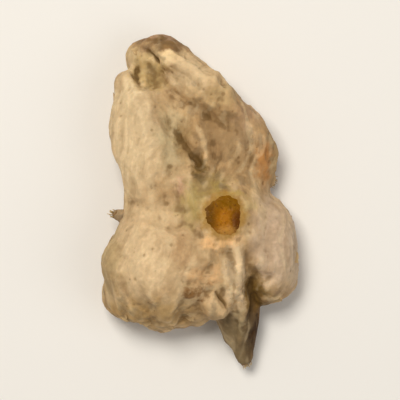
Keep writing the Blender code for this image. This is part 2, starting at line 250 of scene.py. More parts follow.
def lengthwise(skin, scale, drawn, seed, ridged=False):
    """Noise that runs along each part's own growth: so fine across it, and drawn out along it."""
    bend = 2.2 * np.stack([noise_at(skin.points, 0.14, turn) for turn in (1, 2, 3)], axis=1)
    total = np.full(len(skin.points), 1e-9)
    values = np.zeros(len(skin.points))
    for number, (middle, reach, growth, _) in enumerate(GROWN_PARTS):
        weight = skin.near(middle, reach) ** 1.5
        near = weight > 1e-3 * weight.max()
        offset = skin.points[near] - middle + bend[near]
        axis = unit(growth)
        places = offset - (1.0 - drawn) * (offset @ axis)[:, None] * axis
        heights = noise_at(places, scale, seed + number)
        if ridged:
            heights = 0.45 - 2.0 * np.abs(heights)
        values[near] += weight[near] * heights
        total += weight
    return values / total


def wrinkle_heights(skin):
    """Lengthwise wrinkles with narrow crests, coarse ones in patches and fine ones everywhere."""
    weights = np.array([skin.near(middle, reach) + 1e-9 for middle, reach, _, _ in GROWN_PARTS])
    wrinkled = np.array([part[3] for part in GROWN_PARTS]) @ weights / weights.sum(axis=0)
    patchy = smooth_step(-0.35, 0.4, noise_at(skin.points, 0.16, 5))
    coarse = lengthwise(skin, 0.62, 0.2, 10, ridged=True)
    fine = lengthwise(skin, 1.5, 0.18, 30, ridged=True)
    return wrinkled * (COARSE_WRINKLE * coarse * patchy + FINE_WRINKLE * fine)


def settled(skin, line, height):
    """The line's points, each moved to the deepest place near it for a crease, the highest for a rib."""
    depths = -math.copysign(1.0, height) * skin.depth_below(MIDDLE_ROUNDS)
    sunk = np.where(skin.normals[:, 2] > 0.2, depths, -np.inf)
    places = []
    for x, y in line:
        far = np.hypot(skin.points[:, 0] - x, skin.points[:, 1] - y)
        places.append(skin.points[np.where(far < LINE_REACH, sunk - 0.1 * far ** 2, -np.inf).argmax(), :2])
    return np.array(places)


def line_heights(skin):
    """Heights of the sharp lines, and how near each point is to a crease's bottom and to a rib."""
    waver = 0.3 * np.stack([noise_at(skin.points, 0.8, turn) for turn in (41, 42)], axis=1)
    places = skin.points[:, :2] + waver
    facing = smooth_step(0.0, 0.4, skin.normals[:, 2])
    patchy = 0.85 + 0.5 * noise_at(skin.points, 0.6, 43)
    heights = np.zeros(len(skin.points))
    bottoms = np.zeros(len(skin.points))
    crests = np.zeros(len(skin.points))
    for line, width, height in SHARP_LINES:
        corners = settled(skin, line, height)
        steps = np.linspace(0, len(corners) - 1, LINE_SAMPLES)
        course = np.stack([np.interp(steps, range(len(corners)), side) for side in corners.T], axis=1)
        course = course + np.roll(course, LINE_EASE, axis=0) + np.roll(course, -LINE_EASE, axis=0)
        course = course[LINE_EASE:-LINE_EASE] / 3.0
        fars = np.array([np.hypot(*(places - place).T) for place in course])
        along = fars.argmin(axis=0) / (len(course) - 1)
        ends = smooth_step(0.0, 0.25, along) * smooth_step(0.0, 0.25, 1.0 - along)
        share = fars.min(axis=0) / width
        near = (np.exp(-share) if height < 0 else np.exp(-share ** 2)) * facing * ends * patchy
        heights += height * near
        if height < 0:
            bottoms = np.maximum(bottoms, near)
        else:
            crests = np.maximum(crests, np.exp(-(0.4 * share) ** 2) * facing * ends)
    return heights, bottoms, crests


def bark_left(skin):
    """1 where the brown bark still covers the skin, 0 where it wore off, with ragged edges between."""
    held = np.full(len(skin.points), -0.3)
    for middle, reach, share in BARK_PLACES:
        held += share * skin.near(middle, reach)
    ragged = 0.65 * lengthwise(skin, 0.4, 0.4, 80) + 0.24 * noise_at(skin.points, 1.1, 90)
    return smooth_step(-0.09, 0.09, held + ragged + 0.09 * noise_at(skin.points, 2.6, 91))


def ring_heights(skin):
    """Heights and lines of the wavy rings: a step up at each sheath's foot, then a slow fall."""
    waver = 1.5 * noise_at(skin.points, 0.28, 51) + 0.5 * noise_at(skin.points, 0.9, 52)
    worn = 1.0 - 0.7 * smooth_step(0.2, 0.9, skin.normals[:, 2])
    heights = np.zeros(len(skin.points))
    lines = np.zeros(len(skin.points))
    for number, (middle, reach, axis, spacing, height) in enumerate(RINGED_PARTS):
        weight = smooth_step(0.25, 0.75, skin.near(middle, reach)) * worn
        turn = ((skin.points - middle) @ unit(axis) + waver) / spacing
        share = turn - np.floor(turn)
        broken = smooth_step(-0.3, 0.25, noise_at(skin.points, 0.2, 60 + number))
        step = smooth_step(0.0, 0.1, share) * (1.0 - smooth_step(0.1, 0.75, share))
        heights += weight * height * step * (0.35 + 0.65 * broken)
        lines = np.maximum(lines, weight * np.exp(-((share - 0.03) / 0.05) ** 2) * (0.3 + 0.7 * broken))
    return heights, lines


def pore_depths(skin):
    """Pores and pin-holes, each a small round dent."""
    draw = np.random.default_rng(PORE_SEED)
    depths = np.zeros(len(skin.points))
    for index in draw.choice(len(skin.points), PORES, replace=False):
        radius = draw.uniform(0.16, 0.42)
        far = np.linalg.norm(skin.points - skin.points[index], axis=1)
        depths = np.maximum(depths, 0.42 * radius * np.exp(-(far / radius) ** 2))
    return depths


def root_scar_heights(skin):
    """Heights and marks of the small root scars: a low ring round a dimple with a raised middle."""
    heights = np.zeros(len(skin.points))
    marks = np.zeros(len(skin.points))
    for beside, radius in ROOT_SCARS:
        middle = skin.points[np.linalg.norm(skin.points - beside, axis=1).argmin()]
        share = np.linalg.norm(skin.points - middle, axis=1) / radius
        ring = np.exp(-((share - 1.0) / 0.28) ** 2)
        dimple = np.exp(-(share / 0.75) ** 2)
        raised = np.exp(-(share / 0.3) ** 2)
        heights += radius * (0.22 * ring - 0.25 * dimple + 0.2 * raised)
        marks = np.maximum(marks, np.exp(-(share / 1.05) ** 4))
    return heights, marks


skin = Skin(grown_mesh())
# The worn flats that the root rests on stay as they are
rest_on = smooth_step(0.3, 1.2, skin.points[:, 2])
beside_scar = np.hypot(skin.points[:, 0] - SCAR_MIDDLE[0], skin.points[:, 1] - SCAR_MIDDLE[1])
beside_scar[skin.normals[:, 2] < 0.4] = np.inf
scar_share = np.linalg.norm(skin.points - skin.points[beside_scar.argmin()], axis=1) / SCAR_RADIUS
skin.soften(1.0 - smooth_step(1.1, 1.6, scar_share), SCAR_GROUND_SOFTENED)
# The folds first, and then the finer relief over them
sharp, crease_lines, rib_lines = line_heights(skin)
skin.soften(0.85 * rib_lines, RIB_SOFTENED)
for middle, reach in SMOOTH_PLACES:
    skin.soften(0.9 * skin.near(middle, reach), PLACES_SOFTENED)
skin.push(sharp)
skin.push(-FOLDS_SHARPENED * np.clip(skin.depth_below(FOLD_ROUNDS), -0.08, 0.4) * rest_on)
rings, ring_lines = ring_heights(skin)
scars, scar_marks = root_scar_heights(skin)
dents = DENT_HEIGHT * noise_at(skin.points, 0.45, 70)
grit = GRIT_HEIGHT * noise_at(skin.points, 1.7, 71)
stains = lengthwise(skin, 0.8, 0.16, 50)
bark = bark_left(skin)
skin.push((wrinkle_heights(skin) + rings + dents + grit + BARK_THICK * bark) * rest_on)
skin.push((scars - pore_depths(skin)) * rest_on)
for middle, reach in SMOOTH_PLACES:
    skin.soften(0.8 * skin.near(middle, reach), PLACES_SOFTENED_AGAIN)

skin.keep("stain", stains)
skin.keep("bark", bark)
skin.keep("bark_round", neighbour_mean(bark[:, None], skin.edges, BARK_ROUNDS)[:, 0])
skin.keep("scar_share", scar_share)
skin.keep("fine_hollow", skin.depth_below(FINE_ROUNDS))
skin.keep("crease_line", crease_lines)
skin.keep("mid_hollow", skin.depth_below(MIDDLE_ROUNDS))
skin.keep("deep_hollow", skin.depth_below(DEEP_ROUNDS))
skin.keep("ring_line", ring_lines)
skin.keep("scar_mark", scar_marks)

root = bpy.data.objects.new("root_skin", skin.mesh)
bpy.context.scene.collection.objects.link(root)
skin.mesh.shade_smooth()


class Shading:
    """A material's nodes, or a group's, added and joined in one line each."""

    def __init__(self, tree):
        self.tree = tree

    def node(self, kind, settings=None, **inputs):
        """A node with its settings and inputs. An input is a value, or a socket to read."""
        made = self.tree.nodes.new(kind)
        for name, value in (settings or {}).items():
            setattr(made, name, value)
        for name, value in inputs.items():
            socket = made.inputs[int(name[1:]) if name[1:].isdigit() else name.replace("_", " ")]
            if isinstance(value, bpy.types.NodeSocket):
                self.tree.links.new(value, socket)
            else:
                socket.default_value = value
        return made

    def math(self, operation, first, second=0.0):
        return self.node("ShaderNodeMath", {"operation": operation}, i0=first, i1=second).outputs[0]

    def vector(self, operation, first, second=(0.0, 0.0, 0.0)):
        made = self.node("ShaderNodeVectorMath", {"operation": operation}, i0=first, i1=second)
        return made.outputs["Value" if operation in ("LENGTH", "DOT_PRODUCT") else "Vector"]

    def ramp(self, value, low, high, to_low=0.0, to_high=1.0):
        return self.node(
            "ShaderNodeMapRange", {"interpolation_type": "SMOOTHSTEP"},
            Value=value, From_Min=low, From_Max=high, To_Min=to_low, To_Max=to_high,
        ).outputs["Result"]

    def noise(self, place, scale, detail=2.0, roughness=0.5, output="Fac"):
        return self.node(
            "ShaderNodeTexNoise", Vector=place, Scale=scale, Detail=detail, Roughness=roughness
        ).outputs[output]

    def mix(self, share, first, second):
        return self.node(
            "ShaderNodeMix", {"data_type": "RGBA"}, i0=share, i6=first, i7=second
        ).outputs[2]

    def tint(self, share, tone, tinted):
        """The tone multiplied by a tint, as far as the share says."""
        return self.mix(share, tone, self.vector("MULTIPLY", tone, tinted))

    def placed(self, group, output, **inputs):
        """What a node group puts out for these inputs."""
        return self.node("ShaderNodeGroup", {"node_tree": group}, **inputs).outputs[output]

    def kept(self, name):
        return self.node("ShaderNodeAttribute", {"attribute_name": name}).outputs["Fac"]

    def place(self):
        """Where a point lies on the object, in mm."""
        coordinates = self.node("ShaderNodeTexCoord").outputs["Object"]
        return self.vector("MULTIPLY", coordinates, (1 / MM, 1 / MM, 1 / MM))

    def link(self, socket, shader, name):
        self.tree.links.new(socket, shader.inputs[name])

    def patched(self, place, tone, patches):
        """The tone with soft oval patches of other colours laid over it, one after the other."""
        for middle, reach, soft, strength, patch_colour in patches:
            patch = self.placed(
                skin_patch, "Mask", Place=place, Middle=middle, Reach=reach, Soft=soft, Strength=strength
            )
            tone = self.mix(patch, tone, colour(*patch_colour))
        return tone

    def clouded(self, place, tone, fineness, contrast):
        clouds = self.placed(mottling, "Brightness", Place=place, Fineness=fineness, Contrast=contrast)
        return self.vector("MULTIPLY", tone, clouds)

    def grained(self, place, shader, fineness, strength, distance):
        """Bumps the shader's surface with fine grain, deep as the distance in mm; returns its height."""
        height = self.placed(fine_grain, "Height", Place=place, Fineness=fineness)
        bump = self.node("ShaderNodeBump", Strength=strength, Distance=distance * MM, Height=height)
        self.link(bump.outputs["Normal"], shader, "Normal")
        return height


def colour(red, green, blue):
    """A display colour, 0 to 255, as the linear colour a shader wants."""
    return tuple(
        share / 12.92 if share <= 0.04045 else ((share + 0.055) / 1.055) ** 2.4
        for share in (red / 255, green / 255, blue / 255)
    ) + (1.0,)


def new_material(name):
    material = bpy.data.materials.new(name)
    material.use_nodes = True
    return material, Shading(material.node_tree), material.node_tree.nodes["Principled BSDF"]


def waxy(shader, weight, radius, scale):
    """Lets light into a surface a little, as dry flesh and resin do, by a scale in mm."""
    shader.inputs["Subsurface Weight"].default_value = weight
    shader.inputs["Subsurface Radius"].default_value = radius
    shader.inputs["Subsurface Scale"].default_value = scale * MM


def new_group(name, inputs, output, kind="NodeSocketFloat"):
    """An empty node group with its named inputs and one output; returns it with its nodes and inputs."""
    group = bpy.data.node_groups.new(name, "ShaderNodeTree")
    for title, socket_kind in inputs:
        group.interface.new_socket(title, in_out="INPUT", socket_type=socket_kind)
    group.interface.new_socket(output, in_out="OUTPUT", socket_type=kind)
    paint = Shading(group)
    return group, paint, paint.node("NodeGroupInput").outputs


def skin_patch_group():
    """The mask of a soft-edged oval patch on the skin."""
    group, paint, given = new_group(
        "skin_patch",
        (("Place", "NodeSocketVector"), ("Middle", "NodeSocketVector"), ("Reach", "NodeSocketVector"),
         ("Soft", "NodeSocketFloat"), ("Strength", "NodeSocketFloat")),
        "Mask",
    )
    offset = paint.vector("SUBTRACT", given["Place"], given["Middle"])
    offset = paint.vector("DIVIDE", offset, given["Reach"])
    inner = paint.math("SUBTRACT", 1.0, given["Soft"])
    outer = paint.math("ADD", 1.0, given["Soft"])
    oval = paint.ramp(paint.vector("LENGTH", offset), outer, inner)
    paint.node("NodeGroupOutput", Mask=paint.math("MULTIPLY", oval, given["Strength"]))
    return group


def mottling_group():
    """Cloudy darker and lighter flecks, as a change to a colour's brightness round 1."""
    group, paint, given = new_group(
        "mottling",
        (("Place", "NodeSocketVector"), ("Fineness", "NodeSocketFloat"), ("Contrast", "NodeSocketFloat")),
        "Brightness",
    )
    cloud = paint.noise(given["Place"], given["Fineness"], 5.0, 0.62)
    swing = paint.math("MULTIPLY", paint.math("SUBTRACT", cloud, 0.5), given["Contrast"])
    paint.node("NodeGroupOutput", Brightness=paint.math("ADD", 1.0, swing))
    return group


def grain_group():
    """The height of fine grain with short fibres in it."""
    group, paint, given = new_group(
        "fine_grain", (("Place", "NodeSocketVector"), ("Fineness", "NodeSocketFloat")), "Height"
    )
    drawn = paint.vector("MULTIPLY", given["Place"], (1.0, 0.2, 0.6))
    grain = paint.noise(given["Place"], given["Fineness"], 4.0, 0.7)
    fibres = paint.noise(drawn, given["Fineness"], 3.0, 0.6)
    paint.node("NodeGroupOutput", Height=paint.math("ADD", grain, paint.math("MULTIPLY", fibres, 0.6)))
    return group


skin_patch = skin_patch_group()
mottling = mottling_group()
fine_grain = grain_group()

# Colours laid on places of the skin, some of them painted light and shade: middle and reach in mm, soft
# edge, strength, colour
SKIN_PATCHES = (
    ((-11.6, 12.5, 10.0), (4.8, 12.5, 12.0), 0.45, 0.85, (215, 187, 144)),  # pale left ridge
    ((-12.2, 18.5, 10.0), (1.6, 4.4, 8.0), 0.6, 0.35, (232, 206, 160)),     # painted highlight on its brightest stretch
    ((-5.2, 10.0, 9.0), (2.2, 5.6, 9.0), 0.5, 0.7, (192, 172, 130)),        # painted shade on its greyer right bank
    ((3.8, 10.5, 9.0), (7.0, 8.5, 9.0), 0.35, 0.9, (162, 129, 86)),         # tan right slope
    ((8.6, 11.4, 8.0), (2.2, 4.0, 8.0), 0.6, 0.6, (182, 150, 110)),         # paler outwards
    ((1.8, 14.8, 12.0), (1.5, 2.2, 8.0), 0.6, 0.3, (148, 112, 66)),         # browner dents on it
    ((2.6, 8.8, 12.0), (1.2, 1.6, 8.0), 0.6, 0.5, (142, 106, 62)),
    ((-8.8, 22.6, 7.5), (3.2, 3.4, 9.0), 0.4, 0.85, (182, 153, 98)),        # painted shade in the olive hollow of the upper end
    ((-9.4, 22.7, 8.0), (1.3, 0.9, 8.0), 0.5, 0.6, (190, 164, 116)),        # the bud in it
    ((-11.6, 25.6, 7.0), (1.8, 1.8, 8.0), 0.5, 0.7, (196, 168, 122)),       # pale left shoulder
    ((-6.0, 24.4, 9.0), (2.6, 1.5, 8.0), 0.4, 0.85, (222, 192, 144)),       # painted highlight along the cream crest and on down its edge
    ((-1.6, 21.8, 10.0), (3.4, 2.6, 8.0), 0.5, 0.9, (216, 187, 143)),
    ((3.6, 18.4, 9.0), (3.2, 1.6, 8.0), 0.5, 0.7, (184, 154, 106)),
    ((-4.4, 28.3, 6.0), (7.0, 2.7, 9.0), 0.3, 0.9, (130, 96, 60)),          # brown snapped face
    ((-6.0, 27.2, 8.0), (2.6, 1.2, 8.0), 0.4, 0.9, (124, 93, 52)),
    ((-6.6, 29.2, 8.0), (2.2, 0.8, 8.0), 0.5, 0.5, (190, 150, 116)),        # its pinkish lip
    ((8.0, 15.2, 7.0), (3.0, 2.2, 8.0), 0.5, 0.6, (180, 144, 110)),         # pinkish upper right edge
    ((13.2, 8.2, 6.0), (1.3, 4.6, 7.0), 0.5, 0.7, (150, 124, 84)),          # olive right edge
    ((11.1, 7.0, 7.0), (1.4, 3.8, 6.0), 0.6, 0.85, (176, 118, 58)),         # salmon scar on the shoulder
    ((1.0, 2.2, 12.0), (3.8, 2.1, 8.0), 0.5, 0.9, (144, 118, 70)),          # olive above the shoot scar
    ((-3.0, 10.2, 12.0), (1.2, 3.4, 8.0), 0.7, 0.5, (138, 112, 66)),        # painted shade on the olive bank of the long crease
    ((-0.2, 5.4, 12.0), (1.1, 1.7, 8.0), 0.6, 0.8, (104, 78, 28)),          # painted shade in its dark foot
    ((-3.6, 2.4, 12.0), (1.4, 1.2, 8.0), 0.6, 0.6, (204, 160, 128)),        # faint pink spot
    ((-1.4, -1.6, 13.0), (2.3, 3.4, 8.0), 0.5, 0.8, (182, 158, 96)),        # greenish left of the scar
    ((4.4, 1.5, 13.0), (3.6, 0.9, 8.0), 0.6, 0.7, (176, 148, 80)),
    ((8.2, -1.6, 12.0), (0.9, 2.4, 8.0), 0.6, 0.7, (206, 178, 122)),        # its pale right edge
    ((3.4, -7.0, 13.0), (3.4, 1.3, 8.0), 0.5, 0.88, (240, 190, 130)),       # orange flush below it
    ((-8.6, -8.6, 14.0), (7.6, 7.8, 14.0), 0.4, 0.9, (211, 180, 136)),      # pale knob
    ((-9.6, -10.4, 16.0), (3.4, 4.6, 8.0), 0.7, 0.3, (228, 198, 154)),      # painted highlight on its brightest part
    ((-15.8, -9.0, 10.0), (2.2, 7.0, 9.0), 0.5, 0.75, (176, 149, 103)),     # painted shade on its greyer left side
    ((-14.4, -14.4, 12.0), (1.5, 1.5, 8.0), 0.6, 0.6, (168, 138, 94)),      # painted shade in a dent low on it
    ((-9.0, -19.6, 9.0), (8.5, 2.6, 12.0), 0.45, 0.8, (178, 142, 88)),      # its foot: browner skin, darker at the bottom with painted shade
    ((-3.2, -8.6, 14.0), (1.9, 3.4, 8.0), 0.6, 0.75, (176, 138, 94)),       # salmon edge of the knob
    ((0.6, -13.0, 12.0), (3.2, 2.0, 8.0), 0.5, 0.75, (210, 164, 112)),      # salmon cross wrinkles
    ((-0.8, -16.2, 12.0), (2.0, 0.9, 8.0), 0.6, 0.9, (114, 72, 20)),        # brown line under them
    ((2.7, -18.4, 11.0), (2.4, 2.5, 8.0), 0.4, 0.85, (188, 158, 116)),      # cream nub
    ((6.2, -13.6, 11.0), (1.7, 6.6, 9.0), 0.4, 0.8, (208, 180, 140)),       # pale rib below the scar
    ((12.6, -7.4, 8.0), (4.2, 8.4, 9.0), 0.4, 0.85, (194, 167, 138)),       # grey-pink right lobe
    ((16.8, -8.5, 6.0), (1.7, 7.0, 9.0), 0.5, 0.8, (194, 171, 145)),        # its greyer edge
    ((9.4, -15.8, 7.0), (1.6, 4.8, 8.0), 0.5, 0.9, (114, 82, 22)),          # painted shadow in the dark notch beside that lobe
    ((11.4, -15.6, 6.0), (2.2, 1.6, 7.0), 0.5, 0.8, (118, 90, 36)),
    ((6.6, -24.6, 5.0), (4.6, 6.0, 7.0), 0.25, 1.0, (122, 102, 70)),        # grey-olive tail
    ((-14.4, -2.8, 6.0), (2.0, 1.6, 4.0), 0.5, 0.8, (128, 106, 80)),        # grey spur
    ((10.4, -22.8, 4.0), (2.6, 5.4, 6.0), 0.7, 1.0, (58, 32, 0)),           # its dark right edge
    ((7.0, -20.2, 8.0), (0.8, 2.4, 5.0), 0.6, 0.7, (152, 132, 96)),         # the rib that runs on down it
)


def dried_skin_material():
    material, paint, surface = new_material("dried_skin")
    place = paint.place()
    fine = paint.kept("fine_hollow")
    deep = paint.kept("deep_hollow")
    stray = paint.vector("SUBTRACT", paint.noise(place, 0.4, 4.0, 0.6, "Color"), (0.5, 0.5, 0.5))
    stray_place = paint.vector("ADD", place, paint.vector("MULTIPLY", stray, (6.0, 6.0, 6.0)))
    broad = paint.ramp(paint.noise(place, 0.22, 3.0, 0.55), 0.38, 0.64)
    tone = paint.mix(broad, colour(176, 142, 98), colour(204, 172, 126))
    tone = paint.patched(stray_place, tone, SKIN_PATCHES)
    # Lengthwise stains
    stain = paint.kept("stain")
    tone = paint.mix(paint.ramp(stain, 0.06, 0.4, 0.0, 0.22), tone, colour(142, 108, 66))
    tone = paint.mix(paint.ramp(stain, -0.06, -0.4, 0.0, 0.25), tone, colour(222, 196, 152))
    # Bark that held on among worn skin is browner, and worn spots among bark are paler
    peeled = paint.math("SUBTRACT", paint.kept("bark_round"), paint.kept("bark"))
    tone = paint.vector("MULTIPLY", tone, paint.ramp(peeled, -0.8, 0.8, 0.72, 1.26))
    # Resin stained the skin golden close round the shoot scar
    wander = paint.math("MULTIPLY", paint.math("SUBTRACT", paint.noise(place, 0.7, 3.0, 0.6), 0.5), 0.7)
    stained = paint.ramp(paint.math("ADD", paint.kept("scar_share"), wander), 1.42, 1.0, 0.0, 0.85)
    tone = paint.mix(stained, tone, colour(160, 118, 46))
    # Painted highlight, with wear: crests are paler. Rings and scars hold darker older skin; all of it
    # cloudy
    tone = paint.tint(paint.ramp(fine, -0.004, -0.03), tone, (1.13, 1.14, 1.16))
    # Painted shade, with dark dust: darker in fine creases, in broad hollows and along crease bottoms
    tone = paint.tint(paint.ramp(fine, 0.006, 0.05), tone, (0.7, 0.66, 0.6))
    tone = paint.mix(paint.ramp(paint.kept("mid_hollow"), 0.05, 0.3, 0.0, 0.55), tone, colour(108, 80, 36))
    tone = paint.mix(paint.ramp(deep, 0.1, 0.8, 0.0, 0.65), tone, colour(94, 66, 24))
    tone = paint.mix(paint.ramp(paint.kept("crease_line"), 0.15, 1.1, 0.0, 0.45), tone, colour(98, 70, 24))
    tone = paint.clouded(place, tone, 1.1, 0.5)
    tone = paint.mix(paint.math("MULTIPLY", paint.kept("ring_line"), 0.3), tone, colour(140, 100, 62))
    tone = paint.mix(paint.math("MULTIPLY", paint.kept("scar_mark"), 0.45), tone, colour(132, 94, 54))
    specks = paint.ramp(paint.noise(place, 2.6, 2.0, 0.5), 0.7, 0.78, 0.0, 0.4)
    tone = paint.mix(specks, tone, colour(104, 74, 42))
    height = paint.grained(place, surface, 5.0, 0.6, 0.1)
    paint.link(tone, surface, "Base Color")
    paint.link(paint.ramp(height, 0.5, 1.1, 0.62, 0.82), surface, "Roughness")
    surface.inputs["Specular IOR Level"].default_value = 0.25
    waxy(surface, 0.12, (1.0, 0.6, 0.3), 0.8)
    return material


root.data.materials.clear()
root.data.materials.append(dried_skin_material())
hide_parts("galangal_root")
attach(root, "root")


# The shoot scar: the round face where the leafy shoot snapped off, its resin dried hard and amber.
# It sits in the dish of the mound, ragged at its edge, with the cut ends of its bundles showing.

# Its uneven colours, one of them painted shadow: middle and reach in mm, soft edge, strength, colour
SCAR_PATCHES = (
    ((4.6, -0.3, 15.0), (2.8, 1.4, 4.0), 0.6, 0.6, (130, 88, 0)),      # golden top
    ((1.5, -2.8, 14.0), (1.0, 2.6, 5.0), 0.6, 0.7, (92, 60, 4)),       # painted shadow of the rim on the dark left edge
    ((6.6, -3.9, 14.0), (1.0, 1.9, 5.0), 0.6, 0.8, (88, 42, 0)),       # darkest at the lower right
    ((4.1, -3.7, 15.0), (1.0, 2.2, 5.0), 0.6, 0.5, (184, 118, 20)),    # paler middle
    ((4.7, -5.4, 15.0), (1.7, 0.9, 5.0), 0.6, 0.5, (198, 146, 72)),    # pale foot
)
SCAR_SPREAD = 1.22
SCAR_COUNTS = (32, 110)
SCAR_BACK = 0.5

skin_tree = BVHTree.FromPolygons(
    [Vector(point) for point in skin.points], [tuple(face.vertices) for face in skin.mesh.polygons]
)


def skin_below(point, facing, above=6.0):
    """Where a line that comes down on the skin against its facing direction meets it, in mm."""
    return skin_tree.ray_cast(Vector(point) + Vector(facing) * above, -Vector(facing))[0]


def object_from(name, part, value_name):
    """A piece from a part: its points in mm, its faces, and a value of each point for its material."""
    points, faces, values = part
    mesh = bpy.data.meshes.new(name)
    mesh.from_pydata([Vector(point) * MM for point in points], [], faces)
    values = np.array(values, np.float32)
    mesh.attributes.new(value_name, "FLOAT", "POINT").data.foreach_set("value", values)
    shape = bmesh.new()
    shape.from_mesh(mesh)
    bmesh.ops.recalc_face_normals(shape, faces=shape.faces)
    shape.to_mesh(mesh)
    shape.free()
    mesh.shade_smooth()
    piece = bpy.data.objects.new(name, mesh)
    bpy.context.scene.collection.objects.link(piece)
    return piece


def finish_piece(piece, material):
    piece.data.materials.append(material)
    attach(piece, "root")


def scar_face(middle, facing, radius, counts, outline, relief, back):
    """A closed face that follows the skin. Its counts are its rings and its spokes, and its outline and
    its relief above the skin are functions."""
    ring_count, spokes = counts
    facing = Vector(facing).normalized()
    side = Vector((0.0, 1.0, 0.0)).cross(facing).normalized()
    across = facing.cross(side)
    front, rear, shares = [], [], []
    for ring in range(ring_count + 1):
        share = ring / ring_count
        for spoke in range(spokes if ring else 1):
            angle = 2.0 * math.pi * spoke / spokes
            reach = radius * share * outline(angle)
            flat = middle + reach * (math.cos(angle) * side + math.sin(angle) * across)
            ground = skin_below(flat, facing)
            front.append(ground + facing * relief(share, flat))
            rear.append(ground - facing * back)
            shares.append(share)
    faces = []
    for offset in (0, len(front)):
        for spoke in range(spokes):
            after = (spoke + 1) % spokes
            faces.append((offset, offset + 1 + spoke, offset + 1 + after))
            for ring in range(1, ring_count):
                inner = offset + 1 + (ring - 1) * spokes
                outer = inner + spokes
                faces.append((inner + spoke, outer + spoke, outer + after, inner + after))
    edge = 1 + (ring_count - 1) * spokes
    for spoke in range(spokes):
        after = (spoke + 1) % spokes
        faces.append((edge + spoke, len(front) + edge + spoke, len(front) + edge + after, edge + after))
    return front + rear, faces, shares + shares


def shoot_scar_outline(angle):
    """A round that is flat on top and narrows downwards, uneven all along its edge."""
    turn = Vector((math.cos(angle), math.sin(angle), 0.0))
    uneven = 0.1 * noise.noise(turn * 1.5) + 0.05 * noise.noise(turn * 5.0)
    return SCAR_SPREAD * (1.0 + 0.05 * math.cos(3.0 * (angle - 0.8)) + uneven)


def shoot_scar_relief(share, flat):
    """Torn and grained, with shallow growth rings, and sinking into the skin all round."""
    torn = 0.16 * noise.noise(flat * 0.7) + 0.12 * noise.noise(flat * 1.9) + 0.05 * noise.noise(flat * 4.6)
    growth = 0.03 * math.sin(share * 17.0 + 2.5 * noise.noise(flat * 0.5))
    edge = smooth_step(0.62, 1.0, share)
    return 0.2 + torn * (1.0 - 0.6 * edge) + growth - 0.62 * edge


def bundle_group():
    """The mask of the cut ends of the bundles that run through the flesh, as small round dots."""
    group, paint, given = new_group(
        "cut_bundles",
        (("Place", "NodeSocketVector"), ("Fineness", "NodeSocketFloat"), ("Size", "NodeSocketFloat"),
         ("Strength", "NodeSocketFloat")),
        "Mask",
    )
    cells = paint.node(
        "ShaderNodeTexVoronoi", {"feature": "F1"}, Vector=given["Place"], Scale=given["Fineness"]
    ).outputs["Distance"]
    inner = paint.math("SUBTRACT", given["Size"], 0.12)
    paint.node("NodeGroupOutput", Mask=paint.ramp(cells, given["Size"], inner, 0.0, given["Strength"]))
    return group


cut_bundles = bundle_group()


def amber_material():
    material, paint, surface = new_material("amber_scar")
    place = paint.place()
    share = paint.kept("edge_share")
    flecks = paint.noise(place, 0.8, 5.0, 0.6)
    wander = paint.math("ADD", share, paint.math("MULTIPLY", paint.math("SUBTRACT", flecks, 0.5), 1.1))
    tone = paint.mix(paint.ramp(wander, 0.1, 0.7), colour(150, 92, 0), colour(130, 80, 0))
    # Painted shade: darker towards the sunken edge, under the rim
    tone = paint.mix(paint.ramp(wander, 0.72, 1.1), tone, colour(104, 64, 6))
    tone = paint.patched(place, tone, SCAR_PATCHES)
    grime = paint.ramp(paint.noise(place, 1.9, 4.0, 0.6), 0.54, 0.7, 0.0, 0.6)
    tone = paint.mix(grime, tone, colour(88, 48, 4))
    bundles = paint.placed(cut_bundles, "Mask", Place=place, Fineness=2.2, Size=0.2, Strength=0.4)
    tone = paint.mix(bundles, tone, colour(206, 146, 54))
    paint.grained(place, surface, 4.0, 0.5, 0.1)
    paint.link(tone, surface, "Base Color")
    paint.link(paint.ramp(flecks, 0.35, 0.7, 0.36, 0.6), surface, "Roughness")
    surface.inputs["Specular IOR Level"].default_value = 0.1
    waxy(surface, 0.15, (1.0, 0.4, 0.05), 0.5)
    return material


mound_top = skin_below((*SCAR_MIDDLE, 20.0), (0.0, 0.0, 1.0))
near_scar = np.linalg.norm(skin.points - mound_top, axis=1) < SCAR_RADIUS
scar_facing = unit(skin.normals[near_scar].mean(axis=0))
amber_face = scar_face(
    mound_top, scar_facing, SCAR_RADIUS, SCAR_COUNTS, shoot_scar_outline, shoot_scar_relief, SCAR_BACK
)
finish_piece(object_from("shoot_scar", amber_face, "edge_share"), amber_material())


# The snapped ends: where the tail, the spur and the root stubs broke off, the pale pith shows inside
# its darker rind, and the tough bundles that run through the root stand out of the break as fibres.

# Each broken end: a point inside it, the way it points, and the radius of its face, in mm
SNAPPED_ENDS = (
    ((7.7, -27.0, 3.7), (0.2, -0.96, -0.12), 1.15),    # tail
    ((-14.3, -2.6, 6.3), (-0.95, 0.2, 0.2), 0.9),      # spur
    ((-12.4, 11.9, 2.9), (-0.93, 0.2, -0.3), 1.2),     # left stub
    ((12.0, 3.5, 2.6), (0.9, -0.27, -0.36), 1.3),      # right stub
    ((2.1, -18.6, 2.9), (0.12, -0.94, -0.26), 1.3),    # stub under the nub
)
END_COUNTS = (10, 40)
END_BACK = 0.3
FIBRES_PER_END = 22
FIBRE_SIDES = 5
FIBRE_SEED = 21


def gathered(parts):
    """Many parts as one: their points, faces and values in one list each."""
    points, faces, values = [], [], []
    for part_points, part_faces, part_values in parts:
        faces.extend(tuple(len(points) + index for index in face) for face in part_faces)
        points.extend(part_points)
        values.extend(part_values)
    return points, faces, values


